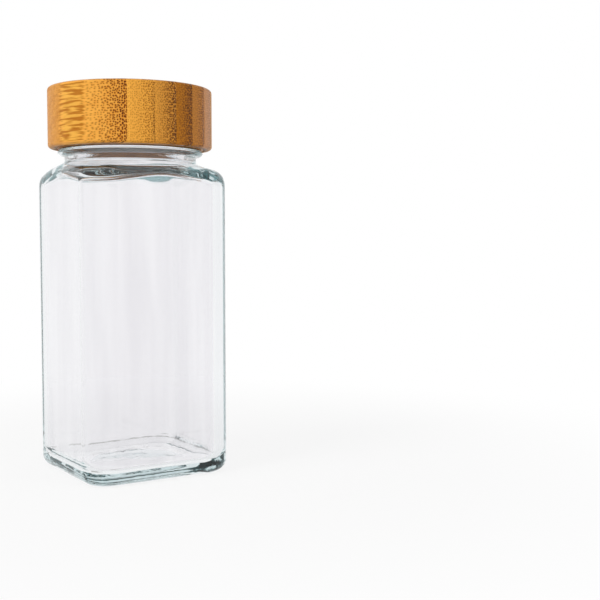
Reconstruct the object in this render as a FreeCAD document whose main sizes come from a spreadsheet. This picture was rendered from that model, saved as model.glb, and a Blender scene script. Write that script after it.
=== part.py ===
"""A square glass spice jar with a shaker insert, a pouring flap and a screw cap of laminated bamboo.

Millimetres, +Z up, origin at the centre of the base. The jar stands closed and the flap points along +X.
"""
import FreeCAD, Part
import Sketcher
import math
import os

# Driving dimensions: name, value, meaning. Angles are in degrees and turns are counts of full turns.
SIZES = [
    ("body_side", 43.2, "width of the square body across its flats"),
    ("corner_radius", 7.5, "rounding of the upright corners, outside"),
    ("inner_corner_radius", 6.3, "rounding of the upright corners, inside"),
    ("body_wall", 2.4, "thickness of the body's wall"),
    ("shoulder_wall", 3.4, "thickness of the glass under the shoulder's slope"),
    ("floor_thickness", 3.0, "thickness of the glass floor"),
    ("heel_radius", 3.4, "rounding where the sides meet the base"),
    ("inner_heel_radius", 3.4, "rounding where the cavity's sides meet its floor"),
    ("punt_radius", 14.0, "radius of the shallow hollow under the base"),
    ("punt_depth", 0.8, "depth of the hollow under the base"),
    ("shoulder_height", 87.25, "height at which the shoulder's slope meets the neck"),
    ("shoulder_slope", 18.0, "fall of the shoulder away from the neck"),
    ("shoulder_round", 4.5, "rounding where the shoulder meets the sides, outside"),
    ("inner_shoulder_round", 1.5, "rounding where the cavity's sides meet its shoulder"),
    ("neck_radius", 18.5, "outside radius of the neck"),
    ("neck_wall", 2.4, "thickness of the neck's wall"),
    ("bore_round", 6.0, "rounding where the neck's bore meets the cavity's shoulder"),
    ("neck_flare", 0.8, "radius of the flare at the foot of the neck"),
    ("neck_gap", 1.85, "height of plain neck between the shoulder and the bead"),
    ("bead_radius", 20.4, "outside radius of the bead under the cap"),
    ("bead_height", 1.9, "height of the bead"),
    ("bead_edge", 0.8, "rounding of the bead's upper edge"),
    ("bead_land", 0.1, "height of the upright face between the bead's roundings"),
    ("bead_lower_arc", 2.2, "radius of the bead's rounded underside"),
    ("rim_round", 0.7, "rounding of the neck's rim, outside"),
    ("mouth_round", 0.5, "rounding of the neck's rim, inside"),
    ("thread_lead", 8.0, "rise of the thread in one turn"),
    ("thread_starts", 2, "number of starts of the thread"),
    ("thread_depth", 0.9, "height of the glass thread above the neck"),
    ("thread_base_width", 2.0, "width of a thread ridge at its root"),
    ("thread_tip_width", 0.9, "width of a thread ridge at its crest"),
    ("thread_lift", 2.2, "height of the thread's start above the bead"),
    ("thread_turns", 0.6, "length of each glass ridge in turns"),
    ("liner_thread_turns", 0.5, "length of each liner ridge in turns"),
    ("thread_crest_gap", 0.2, "gap between a glass crest and the liner's wall"),
    ("thread_root_gap", 0.3, "gap between a liner crest and the neck"),
    ("cap_radius", 23.0, "outside radius of the bamboo cap"),
    ("cap_height", 16.8, "height of the bamboo cap"),
    ("cap_top_thickness", 2.95, "thickness of the bamboo over the bore"),
    ("cap_round", 0.8, "rounding of the cap's top edge"),
    ("cap_lower_round", 1.0, "rounding of the cap's lower edge"),
    ("cap_bead_gap", 0.3, "gap between the cap and the bead"),
    ("strip_width", 5.75, "width of a bamboo strip"),
    ("strip_angle", 22.0, "direction of the strips, from +X"),
    ("liner_wall", 0.95, "thickness of the liner's wall"),
    ("liner_plate", 1.2, "thickness of the liner's top"),
    ("glue_gap", 0.1, "glue line between the liner and the bamboo"),
    ("seal_thickness", 1.0, "thickness of the sealing wad"),
    ("seal_radius", 18.2, "radius of the sealing wad"),
    ("seal_gap", 0.1, "gap between the wad and the shaker's rim"),
    ("flange_thickness", 1.2, "thickness of the shaker's rim"),
    ("seat_gap", 0.05, "gap between the shaker's rim and the glass"),
    ("plug_gap", 0.25, "gap between the shaker's plug and the neck's bore"),
    ("plug_wall", 0.9, "thickness of the shaker's plug"),
    ("plug_depth", 5.0, "depth of the plug below the shaker's rim"),
    ("recess_depth", 2.0, "depth of the sifter disc below the rim's top"),
    ("disc_thickness", 1.0, "thickness of the sifter disc"),
    ("hole_radius", 1.35, "radius of a sifter hole"),
    ("outer_hole_ring", 11.6, "distance of the outer holes from the axis"),
    ("outer_hole_step", 26.0, "angle between the outer holes"),
    ("outer_hole_count", 5, "number of outer holes"),
    ("inner_hole_ring", 7.0, "distance of the inner holes from the axis"),
    ("inner_hole_step", 42.0, "angle between the inner holes"),
    ("inner_hole_count", 3, "number of inner holes"),
    ("flap_width", 10.0, "width of the window that the flap closes"),
    ("flap_gap", 0.3, "slit round the flap"),
    ("crease_offset", 1.9, "distance of the window's inner edge from the axis"),
    ("crease_radius", 0.5, "radius of the round bead that the flap turns on"),
    ("crease_gap", 0.06, "running gap round the flap's bead"),
]

# Places that follow from the driving dimensions, written as expressions on the sheet
HALF_SIDE = "Sizes.body_side / 2"
REACH = "Sizes.body_side"
SLOPE = "tan(Sizes.shoulder_slope * 1 deg)"
PEAK = f"(Sizes.shoulder_height + Sizes.neck_radius * {SLOPE})"
INNER_PEAK = f"({PEAK} - Sizes.shoulder_wall / cos(Sizes.shoulder_slope * 1 deg))"
BORE_RADIUS = f"(Sizes.neck_radius - Sizes.neck_wall)"
BEAD_BASE = "(Sizes.shoulder_height + Sizes.neck_gap)"
BEAD_TOP = f"({BEAD_BASE} + Sizes.bead_height)"
CAP_BASE = f"({BEAD_TOP} + Sizes.cap_bead_gap)"
CAP_BORE_TOP = f"({CAP_BASE} + Sizes.cap_height - Sizes.cap_top_thickness)"
LINER_TOP = f"({CAP_BORE_TOP} - Sizes.glue_gap)"
LINER_CEILING = f"({LINER_TOP} - Sizes.liner_plate)"
SEAL_BASE = f"({LINER_CEILING} - Sizes.seal_thickness)"
FLANGE_TOP = f"({SEAL_BASE} - Sizes.seal_gap)"
FLANGE_BASE = f"({FLANGE_TOP} - Sizes.flange_thickness)"
RIM = f"({FLANGE_BASE} - Sizes.seat_gap)"
CREST_RADIUS = f"(Sizes.neck_radius + Sizes.thread_depth)"
LINER_BORE = f"({CREST_RADIUS} + Sizes.thread_crest_gap)"
LINER_RADIUS = f"({LINER_BORE} + Sizes.liner_wall)"
LINER_CREST = f"(Sizes.neck_radius + Sizes.thread_root_gap)"
CAP_BORE = f"({LINER_RADIUS} + Sizes.glue_gap)"
THREAD_START = f"({BEAD_TOP} + Sizes.thread_lift)"
HALF_PITCH = "Sizes.thread_lead / Sizes.thread_starts / 2"
PLUG_RADIUS = f"({BORE_RADIUS} - Sizes.plug_gap)"
RECESS_RADIUS = f"({PLUG_RADIUS} - Sizes.plug_wall)"
DISC_TOP = f"({FLANGE_TOP} - Sizes.recess_depth)"
DISC_BASE = f"({DISC_TOP} - Sizes.disc_thickness)"
CREASE = "(Sizes.crease_offset + Sizes.flap_gap / 2)"

# How far a cutting shape runs past what it cuts, and how deep a joined shape starts inside its base
OVERRUN = "1"
BITE = "0.3"
FLARE_SINK = "0.1"
# Tightest bend of the arc under the bead, as a share of the chord that it spans
TIGHTEST_BEND = "0.7"

doc = FreeCAD.newDocument("spice_jar")


def make_sheet():
    """Writes the driving dimensions into a sheet, one aliased cell each."""
    sheet = doc.addObject("Spreadsheet::Sheet", "Sizes")
    for row, (alias, number, meaning) in enumerate(SIZES, start=1):
        sheet.set(f"A{row}", meaning)
        sheet.set(f"B{row}", str(number))
        sheet.setAlias(f"B{row}", alias)
    doc.recompute()
    return sheet


sheet = make_sheet()


def value(expression):
    """Number that an expression on the sheet stands for."""
    result = sheet.evalExpression(expression)
    return float(getattr(result, "Value", result))


def make_body(name):
    return doc.addObject("PartDesign::Body", name)


def start_sketch(body, name, role):
    """Empty sketch on one of the body's own origin planes."""
    sketch = body.newObject("Sketcher::SketchObject", name)
    plane = next(feature for feature in body.Origin.OriginFeatures if feature.Role == role)
    sketch.AttachmentSupport = [(plane, "")]
    sketch.MapMode = "FlatFace"
    return sketch


def add_edge(sketch, start, end, radius):
    """Adds a line, or an arc that bends left (radius over 0) or right. Returns its index and end numbers."""
    if radius == 0:
        return sketch.addGeometry(Part.LineSegment(start, end), False), 1, 2
    chord = end - start
    reach = math.copysign(math.sqrt(radius ** 2 - (chord.Length / 2) ** 2), radius)
    centre = (start + end) * 0.5 + FreeCAD.Vector(-chord.y, chord.x, 0).normalize() * reach
    circle = Part.Circle(centre, FreeCAD.Vector(0, 0, 1), abs(radius))
    first, last = (start, end) if radius > 0 else (end, start)
    angles = [math.atan2(point.y - centre.y, point.x - centre.x) for point in (first, last)]
    arc = sketch.addGeometry(Part.ArcOfCircle(circle, *angles), False)
    return (arc, 1, 2) if radius > 0 else (arc, 2, 1)


def place_point(sketch, edge, end, kind, axis, expression):
    """Holds one coordinate of a sketch point at an expression's value."""
    if expression == "0":
        sketch.addConstraint(Sketcher.Constraint("PointOnObject", edge, end, axis))
        return
    index = sketch.addConstraint(Sketcher.Constraint(kind, -1, 1, edge, end, value(expression)))
    sketch.setExpression(f"Constraints[{index}]", expression)


def outline(body, name, role, corners):
    """Closed sketch through (across, up) corners. A third item is the radius of an arc to the next corner."""
    sketch = start_sketch(body, name, role)
    points = [FreeCAD.Vector(value(corner[0]), value(corner[1]), 0) for corner in corners]
    edges = []
    for number, corner in enumerate(corners):
        arc = corner[2] if len(corner) > 2 else "0"
        edge = add_edge(sketch, points[number], points[(number + 1) % len(points)], value(arc))
        edges.append(edge)
        place_point(sketch, edge[0], edge[1], "DistanceX", -2, corner[0])
        place_point(sketch, edge[0], edge[1], "DistanceY", -1, corner[1])
        if arc != "0":
            index = sketch.addConstraint(Sketcher.Constraint("Radius", edge[0], abs(value(arc))))
            sketch.setExpression(f"Constraints[{index}]", f"abs({arc})")
    for this, following in zip(edges, edges[1:] + edges[:1]):
        sketch.addConstraint(Sketcher.Constraint("Coincident", this[0], this[2], following[0], following[1]))
    return sketch


def revolve(body, name, corners, cut=False):
    """Turned shape added to, or cut from, a body. The corners are (radius, height) expressions."""
    sketch = outline(body, f"{name}_profile", "XZ_Plane", corners)
    feature = body.newObject("PartDesign::Groove" if cut else "PartDesign::Revolution", name)
    feature.Profile = sketch
    feature.ReferenceAxis = (sketch, ["V_Axis"])
    feature.Angle = 360
    doc.recompute()
    return feature


def fillet(body, name, radius, chooses):
    """Rounds those edges of the body's tip that the test chooses."""
    base = body.Tip
    names = [f"Edge{number}" for number, edge in enumerate(base.Shape.Edges, start=1) if chooses(edge)]
    feature = body.newObject("PartDesign::Fillet", name)
    feature.Base = (base, names)
    feature.setExpression("Radius", radius)
    doc.recompute()


def at_height(expression):
    """Test for edges that lie flat at a height."""
    height = value(expression)
    return lambda edge: all(abs(vertex.Z - height) < 1e-4 for vertex in edge.Vertexes)


def on_ring(radius, height):
    """Test for circles about the axis with a radius and a height."""
    flat = at_height(height)
    size = value(radius)

    def chooses(edge):
        return flat(edge) and isinstance(edge.Curve, Part.Circle) and abs(edge.Curve.Radius - size) < 1e-4
    return chooses


def upright(edge):
    """Test for straight edges along Z."""
    first, last = edge.Vertexes[0].Point, edge.Vertexes[-1].Point
    return abs(first.x - last.x) < 1e-4 and abs(first.y - last.y) < 1e-4 and abs(first.z - last.z) > 1


def under_roof(body):
    """Test for the edges where the body's upright sides meet its roof."""
    roof = [face for face in body.Tip.Shape.Faces if isinstance(face.Surface, (Part.Cone, Part.Toroid))]

    def about_axis(edge):
        if any(math.hypot(vertex.X, vertex.Y) < 1e-4 for vertex in edge.Vertexes):
            return True
        curve = edge.Curve
        return isinstance(curve, Part.Circle) and math.hypot(curve.Center.x, curve.Center.y) < 1e-4

    def chooses(edge):
        touching = [face for face in roof if any(edge.isSame(other) for other in face.Edges)]
        return len(touching) == 1 and not edge.isSeam(touching[0]) and not about_axis(edge)
    return chooses


def square_form(name, half_side, corner_radius, base, top, roof, heel, round_radius):
    """Rounded square column with a turned roof, given as the outline of what is cut away above it."""
    body = make_body(name)
    minus = f"-({half_side})"
    square = outline(body, f"{name}_square", "XY_Plane", [
        (minus, minus), (half_side, minus), (half_side, half_side), (minus, half_side)])
    square.setExpression("AttachmentOffset.Base.z", base)
    column = body.newObject("PartDesign::Pad", f"{name}_column")
    column.Profile = square
    column.setExpression("Length", f"{top} - {base}")
    doc.recompute()
    fillet(body, f"{name}_corners", corner_radius, upright)
    revolve(body, f"{name}_roof", roof, cut=True)
    fillet(body, f"{name}_shoulder", round_radius, under_roof(body))
    fillet(body, f"{name}_heel", heel, at_height(base))
    return body


def thread(body, name, root_radius, crest_radius, start, turns):
    """Adds one ridge per start round the axis, between a root and a crest radius."""
    half_base = "Sizes.thread_base_width / 2"
    half_tip = "Sizes.thread_tip_width / 2"
    sketch = outline(body, f"{name}_section", "XZ_Plane", [
        (root_radius, f"{start} - {half_base}"), (crest_radius, f"{start} - {half_tip}"),
        (crest_radius, f"{start} + {half_tip}"), (root_radius, f"{start} + {half_base}")])
    ridge = body.newObject("PartDesign::AdditiveHelix", name)
    ridge.Profile = sketch
    ridge.ReferenceAxis = (sketch, ["V_Axis"])
    ridge.Mode = "pitch-turns-angle"
    ridge.setExpression("Pitch", "Sizes.thread_lead")
    ridge.setExpression("Turns", turns)
    doc.recompute()
    starts = body.newObject("PartDesign::PolarPattern", f"{name}_starts")
    starts.Originals = [ridge]
    starts.Axis = (sketch, ["V_Axis"])
    starts.Angle = 360
    starts.setExpression("Occurrences", "Sizes.thread_starts")
    body.Tip = starts
    doc.recompute()


def boolean(kind, name, base, tool):
    """Part boolean of two objects."""
    feature = doc.addObject(kind, name)
    feature.Base = base
    feature.Tool = tool
    return feature


def make_box(name, lengths, corner):
    """Box with its sizes and its lowest corner bound to expressions."""
    box = doc.addObject("Part::Box", name)
    for side, length in zip(("Length", "Width", "Height"), lengths):
        box.setExpression(side, length)
    for axis, place in zip("xyz", corner):
        box.setExpression(f"Placement.Base.{axis}", place)
    return box


def make_neck(body):
    """Adds the flared neck and its bead to the jar's form, and rounds the rim."""
    flare = "Sizes.neck_flare"
    flare_foot = f"(Sizes.neck_radius + {flare} * (1 - sin(Sizes.shoulder_slope * 1 deg)))"
    foot_height = f"({PEAK} - {flare_foot} * {SLOPE} - {FLARE_SINK})"
    flare_top = f"({foot_height} + {flare} * cos(Sizes.shoulder_slope * 1 deg))"
    buried = f"({foot_height} - {OVERRUN})"
    bead_rise = "(Sizes.bead_height - Sizes.bead_edge - Sizes.bead_land)"
    bead_chord = f"sqrt((Sizes.bead_radius - Sizes.neck_radius) ^ 2 + {bead_rise} ^ 2)"
    bead_arc = f"max(Sizes.bead_lower_arc; {TIGHTEST_BEND} * {bead_chord})"
    revolve(body, "neck", [
        ("0", buried),
        (flare_foot, buried),
        (flare_foot, foot_height, f"-{flare}"),
        ("Sizes.neck_radius", flare_top),
        ("Sizes.neck_radius", BEAD_BASE, bead_arc),
        ("Sizes.bead_radius", f"{BEAD_BASE} + {bead_rise}"),
        ("Sizes.bead_radius", BEAD_TOP),
        ("Sizes.neck_radius", BEAD_TOP),
        ("Sizes.neck_radius", RIM),
        ("0", RIM)])
    fillet(body, "bead_edge", "Sizes.bead_edge", on_ring("Sizes.bead_radius", BEAD_TOP))
    fillet(body, "rim_edge", "Sizes.rim_round", on_ring("Sizes.neck_radius", RIM))


def make_cavity():
    """Space inside the jar, with a roof that sweeps up into the neck's bore and a mouth that flares."""
    bore_end = f"({INNER_PEAK} - {BORE_RADIUS} * {SLOPE})"
    sweep = "Sizes.bore_round"
    sweep_top = f"({bore_end} + {sweep} * (1 / cos(Sizes.shoulder_slope * 1 deg) - {SLOPE}))"
    sweep_end = f"({BORE_RADIUS} + {sweep} * (1 - sin(Sizes.shoulder_slope * 1 deg)))"
    past_rim = f"({RIM} + {OVERRUN})"
    above = f"({past_rim} + {OVERRUN})"
    roof = [
        (BORE_RADIUS, above),
        (BORE_RADIUS, sweep_top, sweep),
        (sweep_end, f"{INNER_PEAK} - {sweep_end} * {SLOPE}"),
        (REACH, f"{INNER_PEAK} - {REACH} * {SLOPE}"),
        (REACH, above)]
    cavity = square_form(
        "cavity", f"({HALF_SIDE} - Sizes.body_wall)", "Sizes.inner_corner_radius", "Sizes.floor_thickness",
        past_rim, roof, "Sizes.inner_heel_radius", "Sizes.inner_shoulder_round")
    mouth = f"({BORE_RADIUS} + Sizes.mouth_round)"
    revolve(cavity, "mouth", [
        ("0", f"{RIM} - Sizes.mouth_round"),
        (BORE_RADIUS, f"{RIM} - Sizes.mouth_round", "-Sizes.mouth_round"),
        (mouth, RIM),
        (mouth, past_rim),
        ("0", past_rim)])
    return cavity


def make_punt():
    """Ball that cuts the shallow hollow under the base."""
    ball = doc.addObject("Part::Sphere", "punt_ball")
    radius = f"(Sizes.punt_radius ^ 2 + Sizes.punt_depth ^ 2) / (2 * Sizes.punt_depth)"
    ball.setExpression("Radius", radius)
    ball.setExpression("Placement.Base.z", f"Sizes.punt_depth - {radius}")
    return ball


def make_glass_jar():
    top = f"({PEAK} + {OVERRUN})"
    above = f"({top} + {OVERRUN})"
    roof = [("0", PEAK), (REACH, f"{PEAK} - {REACH} * {SLOPE}"), (REACH, above), ("0", above)]
    form = square_form(
        "jar_form", HALF_SIDE, "Sizes.corner_radius", "0", top, roof, "Sizes.heel_radius",
        "Sizes.shoulder_round")
    make_neck(form)
    thread(form, "jar_thread", f"(Sizes.neck_radius - {BITE})", CREST_RADIUS, THREAD_START,
           "Sizes.thread_turns")
    hollow = boolean("Part::Cut", "jar_hollow", form, make_cavity())
    return [boolean("Part::Cut", "glass_jar", hollow, make_punt())]


def make_bamboo_strips():
    """Turned cap, sawn along its glue lines into the strips that it is made of."""
    cap = make_body("cap_form")
    cap_top = f"({CAP_BASE} + Sizes.cap_height)"
    revolve(cap, "cap_turning", [
        (CAP_BORE, CAP_BASE),
        ("Sizes.cap_radius", CAP_BASE),
        ("Sizes.cap_radius", cap_top),
        ("0", cap_top),
        ("0", CAP_BORE_TOP),
        (CAP_BORE, CAP_BORE_TOP)])
    fillet(cap, "cap_top_edge", "Sizes.cap_round", on_ring("Sizes.cap_radius", cap_top))
    fillet(cap, "cap_lower_edge", "Sizes.cap_lower_round", on_ring("Sizes.cap_radius", CAP_BASE))
    past_edge = f"(Sizes.cap_radius + {OVERRUN})"
    count = math.ceil(round(value("Sizes.cap_radius * 2 / Sizes.strip_width"), 6))
    strips = []
    for number in range(1, count + 1):
        low = f"Sizes.strip_width * {number - 1 - count / 2}"
        high = f"Sizes.strip_width * {number - count / 2}"
        low = f"-{past_edge}" if number == 1 else low
        high = past_edge if number == count else high
        slab = make_box(
            f"slab_{number}",
            (f"{past_edge} * 2", f"{high} - ({low})", f"Sizes.cap_height + {OVERRUN} * 2"),
            (f"-{past_edge}", low, f"{CAP_BASE} - {OVERRUN}"))
        strip = boolean("Part::Common", f"bamboo_strip_{number}", cap, slab)
        strip.Placement = FreeCAD.Placement(FreeCAD.Vector(), FreeCAD.Vector(0, 0, 1), 0)
        strip.setExpression("Placement.Rotation.Angle", "Sizes.strip_angle")
        strips.append(strip)
    return strips


def make_lid_liner():
    liner = make_body("lid_liner")
    revolve(liner, "liner_cup", [
        (LINER_BORE, CAP_BASE),
        (LINER_RADIUS, CAP_BASE),
        (LINER_RADIUS, LINER_TOP),
        ("0", LINER_TOP),
        ("0", LINER_CEILING),
        (LINER_BORE, LINER_CEILING)])
    thread(liner, "liner_thread", f"({LINER_BORE} + {BITE})", LINER_CREST,
           f"({THREAD_START} + {HALF_PITCH})", "Sizes.liner_thread_turns")
    return [liner]


def make_lid_seal():
    seal = doc.addObject("Part::Cylinder", "lid_seal")
    seal.setExpression("Radius", "Sizes.seal_radius")
    seal.setExpression("Height", "Sizes.seal_thickness")
    seal.setExpression("Placement.Base.z", SEAL_BASE)
    return [seal]


def make_shaker_form():
    """Plug with a rim and a recessed disc, before its holes and its flap are cut."""
    form = make_body("shaker_form")
    plug_base = f"({FLANGE_BASE} - Sizes.plug_depth)"
    revolve(form, "shaker_turning", [
        ("0", DISC_BASE),
        (RECESS_RADIUS, DISC_BASE),
        (RECESS_RADIUS, plug_base),
        (PLUG_RADIUS, plug_base),
        (PLUG_RADIUS, FLANGE_BASE),
        ("Sizes.neck_radius", FLANGE_BASE),
        ("Sizes.neck_radius", FLANGE_TOP),
        (RECESS_RADIUS, FLANGE_TOP),
        (RECESS_RADIUS, DISC_TOP),
        ("0", DISC_TOP)])
    fillet(form, "flange_edge", "Sizes.flange_thickness / 3", on_ring("Sizes.neck_radius", FLANGE_TOP))
    fillet(form, "recess_edge", "Sizes.plug_wall / 3", on_ring(RECESS_RADIUS, FLANGE_TOP))
    return form


def make_hole_ring(row):
    """Cylinders for the outer or inner row of sifter holes, spread about the side away from the flap."""
    count = f"Sizes.{row}_hole_count"
    ring = f"Sizes.{row}_hole_ring"
    step = f"Sizes.{row}_hole_step"
    holes = []
    for number in range(int(value(count))):
        hole = doc.addObject("Part::Cylinder", f"{row}_hole_{number + 1}")
        angle = f"(({number} - ({count} - 1) / 2) * {step} * 1 deg)"
        hole.setExpression("Radius", "Sizes.hole_radius")
        hole.setExpression("Height", f"Sizes.disc_thickness + {OVERRUN} * 2")
        hole.setExpression("Placement.Base.x", f"-{ring} * cos({angle})")
        hole.setExpression("Placement.Base.y", f"{ring} * sin({angle})")
        hole.setExpression("Placement.Base.z", f"{DISC_BASE} - {OVERRUN}")
        holes.append(hole)
    return holes


def make_crease(name, radius, half_length):
    """Rod along Y on the axis that the flap turns about, level with the disc's top."""
    rod = doc.addObject("Part::Cylinder", name)
    rod.Placement = FreeCAD.Placement(FreeCAD.Vector(), FreeCAD.Vector(1, 0, 0), -90)
    rod.setExpression("Radius", radius)
    rod.setExpression("Height", f"{half_length} * 2")
    rod.setExpression("Placement.Base.x", CREASE)
    rod.setExpression("Placement.Base.y", f"-{half_length}")
    rod.setExpression("Placement.Base.z", DISC_TOP)
    return rod


def make_shaker():
    """Shaker insert and the flap that fills its window, with a slit between them."""
    form = make_shaker_form()
    reach = f"(Sizes.neck_radius + {OVERRUN})"
    window_top = f"({FLANGE_TOP} + {OVERRUN})"
    window = make_box(
        "flap_window",
        (f"{reach} - Sizes.crease_offset", "Sizes.flap_width",
         f"{window_top} - {DISC_BASE} + Sizes.flap_gap"),
        ("Sizes.crease_offset", "-Sizes.flap_width / 2", f"{DISC_BASE} - Sizes.flap_gap"))
    blank = make_box(
        "flap_blank",
        (f"{reach} - Sizes.crease_offset - Sizes.flap_gap", "Sizes.flap_width - Sizes.flap_gap * 2",
         f"{window_top} - {DISC_BASE}"),
        ("Sizes.crease_offset + Sizes.flap_gap", "Sizes.flap_gap - Sizes.flap_width / 2", DISC_BASE))
    holes = doc.addObject("Part::MultiFuse", "sifter_holes")
    holes.Shapes = make_hole_ring("outer") + make_hole_ring("inner")
    seat = make_crease("crease_seat", "Sizes.crease_radius + Sizes.crease_gap", "(Sizes.flap_width / 2)")
    bead = make_crease("crease_bead", "Sizes.crease_radius", "(Sizes.flap_width / 2 - Sizes.flap_gap)")
    opened = boolean("Part::Cut", "shaker_opened", form, window)
    seated = boolean("Part::Cut", "shaker_seated", opened, seat)
    insert = boolean("Part::Cut", "shaker_insert", seated, holes)
    plate = boolean("Part::Common", "flap_plate", form, blank)
    flap = boolean("Part::Fuse", "shaker_flap", plate, bead)
    return [insert, flap]


def check_and_write(pieces):
    """Stops on any failed object or bad shape, then writes one file per piece."""
    doc.recompute()
    for item in doc.Objects:
        if "Invalid" in item.State or "Error" in item.State:
            raise RuntimeError(f"{item.Name} failed: {item.State}")
    for piece in pieces:
        shape = piece.Shape
        if shape.isNull() or not shape.isValid() or len(shape.Solids) != 1:
            raise RuntimeError(f"{piece.Name} isn't one valid solid")
    os.makedirs("parts", exist_ok=True)
    for piece in pieces:
        piece.Label = piece.Name
        piece.Shape.exportStep(f"parts/{piece.Label}.step")
        print(f"{piece.Label}: {piece.Shape.Volume:.1f} cubic mm")


check_and_write(make_glass_jar() + make_bamboo_strips() + make_lid_liner() + make_lid_seal() + make_shaker())
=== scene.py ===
"""Looks of a square glass spice jar with a shaker insert and a laminated bamboo screw cap.

Metres, +Z up, origin at the centre of the base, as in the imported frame.
"""
import math

import bmesh
import bpy
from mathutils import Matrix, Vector


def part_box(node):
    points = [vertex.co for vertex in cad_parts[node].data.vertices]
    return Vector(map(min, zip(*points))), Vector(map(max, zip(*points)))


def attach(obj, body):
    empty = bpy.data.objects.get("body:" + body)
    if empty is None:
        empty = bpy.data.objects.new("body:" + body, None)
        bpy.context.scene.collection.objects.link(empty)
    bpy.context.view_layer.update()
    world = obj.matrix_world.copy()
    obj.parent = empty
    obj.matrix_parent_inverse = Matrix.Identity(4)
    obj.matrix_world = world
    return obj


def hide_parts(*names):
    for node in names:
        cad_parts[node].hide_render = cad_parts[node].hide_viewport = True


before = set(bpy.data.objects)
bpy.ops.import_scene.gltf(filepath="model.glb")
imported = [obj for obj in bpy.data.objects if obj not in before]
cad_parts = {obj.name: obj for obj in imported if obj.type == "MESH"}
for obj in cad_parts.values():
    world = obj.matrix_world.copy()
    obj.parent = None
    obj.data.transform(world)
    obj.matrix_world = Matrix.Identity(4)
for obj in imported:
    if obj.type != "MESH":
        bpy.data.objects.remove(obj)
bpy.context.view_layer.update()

MM = 0.001

# Camera: place, heading from +Y, tilt below level, focal length and sensor in mm, and its nearest view
CAMERA_PLACE = Vector((0.2731, -0.1232, 0.0661))
CAMERA_HEADING = math.radians(56.456)
CAMERA_TILT = math.radians(3.4135)
CAMERA_LENS = 61.81
SENSOR_WIDTH = 36
NEAREST_VIEW = 0.01

# Glass
HALF_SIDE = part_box("glass_jar")[1].x
RIM_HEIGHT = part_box("glass_jar")[1].z
CORNER_RADIUS = 7.5 * MM
INNER_CORNER_RADIUS = 6.3 * MM
BODY_WALL = 2.4 * MM
SHOULDER_WALL = 3.4 * MM
FLOOR_THICKNESS = 3 * MM
HEEL_RADIUS = 3.4 * MM
INNER_HEEL_RADIUS = 3.4 * MM
PUNT_RADIUS = 14 * MM
PUNT_DEPTH = 0.8 * MM
SHOULDER_HEIGHT = 87.25 * MM
SHOULDER_SLOPE = math.radians(18)
SHOULDER_ROUND = 4.5 * MM
INNER_SHOULDER_ROUND = 1.5 * MM
NECK_RADIUS = 18.5 * MM
NECK_WALL = 2.4 * MM
BORE_ROUND = 6 * MM
NECK_FLARE = 0.8 * MM
NECK_GAP = 1.85 * MM
BEAD_RADIUS = 20.4 * MM
BEAD_HEIGHT = 1.9 * MM
BEAD_EDGE = 0.8 * MM
BEAD_LAND = 0.1 * MM
BEAD_LOWER_ARC = 2.2 * MM
RIM_ROUND = 0.7 * MM
MOUTH_ROUND = 0.5 * MM
THREAD_LEAD = 8 * MM
THREAD_STARTS = 2
THREAD_DEPTH = 0.9 * MM
THREAD_BASE_WIDTH = 2 * MM
THREAD_TIP_WIDTH = 0.9 * MM
THREAD_LIFT = 2.2 * MM
THREAD_TURNS = 0.6
THREAD_RUNOUT = 0.03
BEAD_BASE = SHOULDER_HEIGHT + NECK_GAP
BEAD_TOP = BEAD_BASE + BEAD_HEIGHT
THREAD_START = BEAD_TOP + THREAD_LIFT
SLOPE = math.tan(SHOULDER_SLOPE)
PEAK = SHOULDER_HEIGHT + NECK_RADIUS * SLOPE
INNER_PEAK = PEAK - SHOULDER_WALL / math.cos(SHOULDER_SLOPE)
BORE_RADIUS = NECK_RADIUS - NECK_WALL
# Circle on which the cavity's roof sweeps up into the bore: its middle, and where it leaves the slope
SWEEP_RADIUS = BORE_RADIUS + BORE_ROUND
SWEEP_TOP = INNER_PEAK - SWEEP_RADIUS * SLOPE + BORE_ROUND / math.cos(SHOULDER_SLOPE)
SWEEP_END = SWEEP_RADIUS - BORE_ROUND * math.sin(SHOULDER_SLOPE)

# Liner and wad inside the cap
LINER_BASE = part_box("lid_liner")[0].z
LINER_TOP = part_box("lid_liner")[1].z
LINER_BORE = 19.6 * MM
LINER_RADIUS = 20.55 * MM
LINER_PLATE = 1.2 * MM
LINER_CREST = 18.8 * MM
LINER_LIP = 0.2 * MM
RIDGE_ROOT = 0.3 * MM
RIDGE_TURNS = 0.5
WAD_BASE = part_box("lid_seal")[0].z
WAD_THICKNESS = 1 * MM
WAD_RADIUS = 18.2 * MM
WAD_RINGS = 7
WAD_RING_DEPTH = 0.2 * MM

# Fineness of the glass: points on a corner and on a flat, steps on each rounding, and rings close beside one
CORNER_STEPS = 16
FLAT_POINTS = 14
ROUND_STEPS = 10
SWEEP_STEPS = 14
FLARE_STEPS = 5
BEAD_STEPS = 8
BEAD_EDGE_STEPS = 4
RIM_STEPS = 5
MOUTH_STEPS = 4
SUPPORT = 0.4 * MM
THREAD_STEP = 0.22 * MM
# Rings on the stretches between roundings, as shares of the way along each
PUNT_SHARES = (0.05, 0.3, 0.6, 0.85, 0.97, 1)
FOOT_SHARES = (0.1, 0.9)
SIDE_SHARES = (0.006, 0.15, 0.3, 0.45, 0.6, 0.75, 0.9, 0.994)
SLOPE_SHARES = (0.08, 0.5, 0.92)
FLOOR_SHARES = (0.04, 0.3, 0.6, 0.9)
# Fineness of the liner and the wad: steps round them, on a lip and along a ridge, and circles on the wad
LINER_STEPS = 128
LIP_STEPS = 4
RIDGE_STEPS = 96
WAD_STEPS = 128
WAD_CIRCLES = 60
# Edges that turn by more than this stay sharp, and points closer than this are joined
SHARP_ANGLE = math.radians(25)
GLASS_SHARP_ANGLE = math.radians(60)
WELD_DISTANCE = 0.002 * MM

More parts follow.
